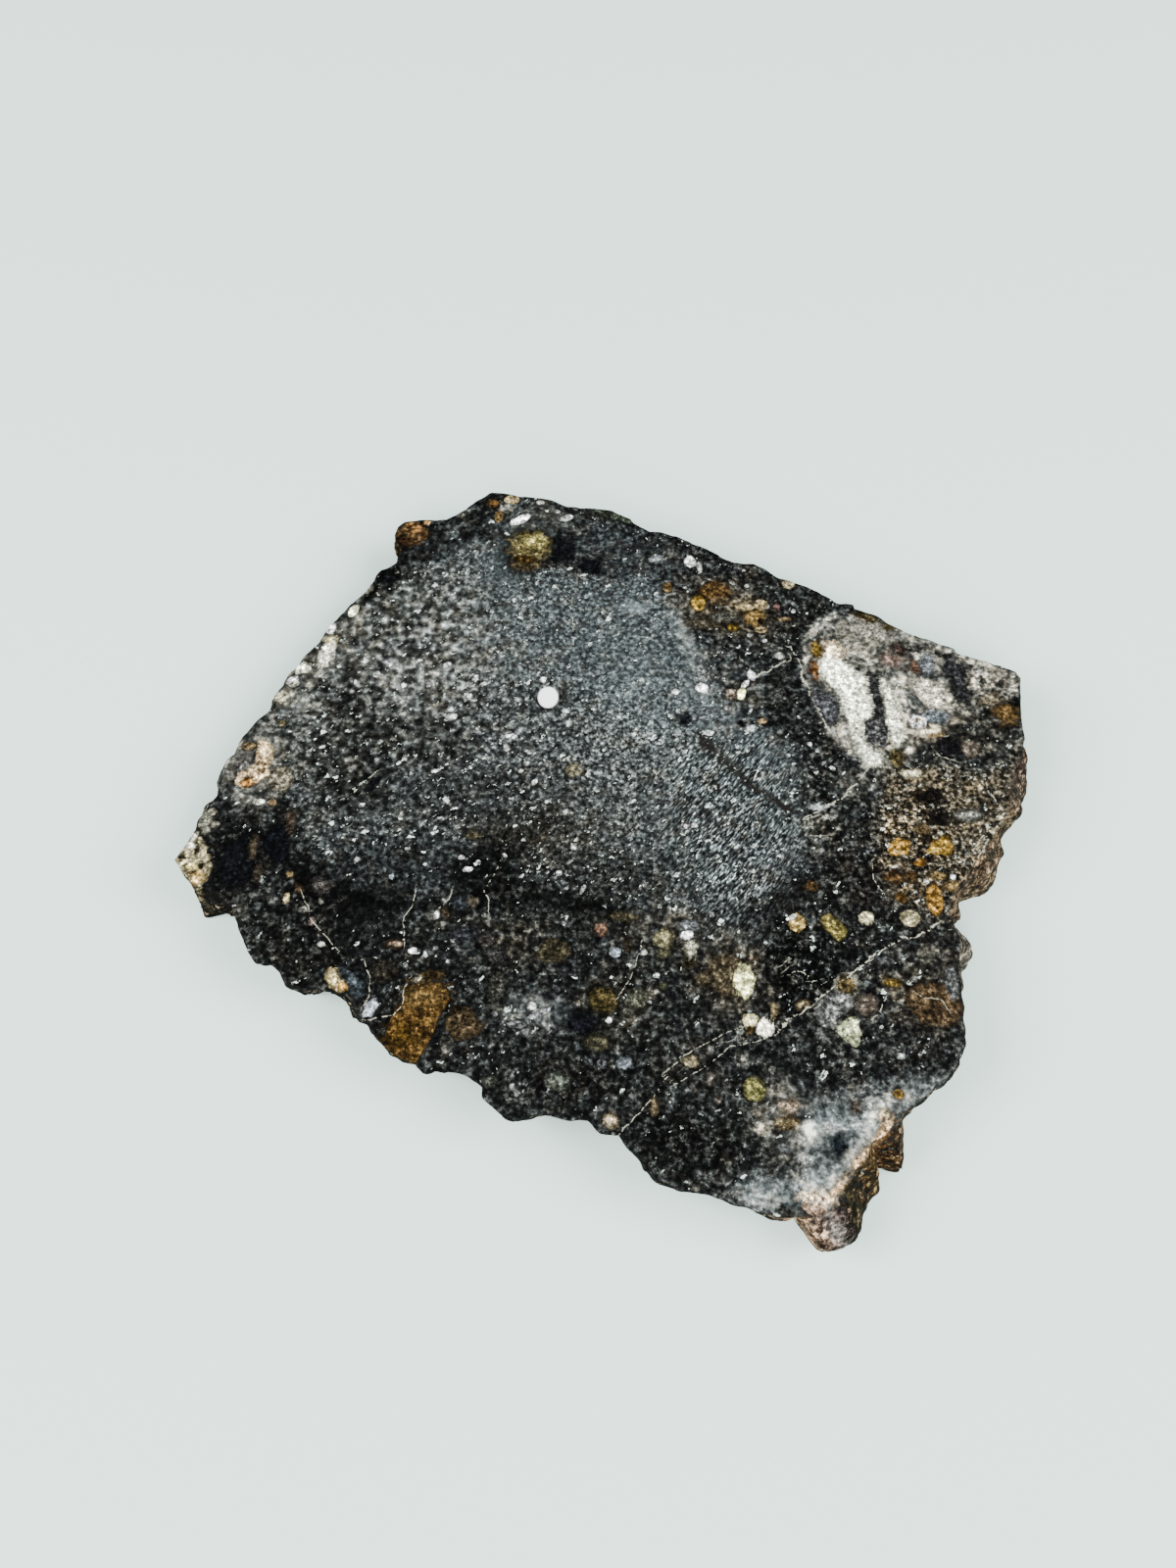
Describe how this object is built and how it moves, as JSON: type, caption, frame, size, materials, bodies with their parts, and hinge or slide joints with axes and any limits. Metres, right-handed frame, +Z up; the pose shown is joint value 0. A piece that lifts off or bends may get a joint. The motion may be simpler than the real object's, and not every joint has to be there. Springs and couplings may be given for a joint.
{
  "type": "aubrite meteorite slice",
  "caption": "Thin sawn slice of a dark brecciated stone meteorite with pale and ochre fragments, flat on both faces, with a rough broken rim.",
  "frame": {"origin": "middle of the flat back, on the surface that the slice lies on", "axes": "+Z up out of the ground face, across the thickness; +X to the right of the picture, +Y away from its camera"},
  "size_m": [0.0502, 0.0472, 0.0035],
  "materials": {
    "stone": "finely ground near-black breccia with pale, ochre and grey fragments; rough broken rim"
  },
  "bodies": {
    "root": {"meteorite_slice": "stone"}
  },
  "joints": []
}
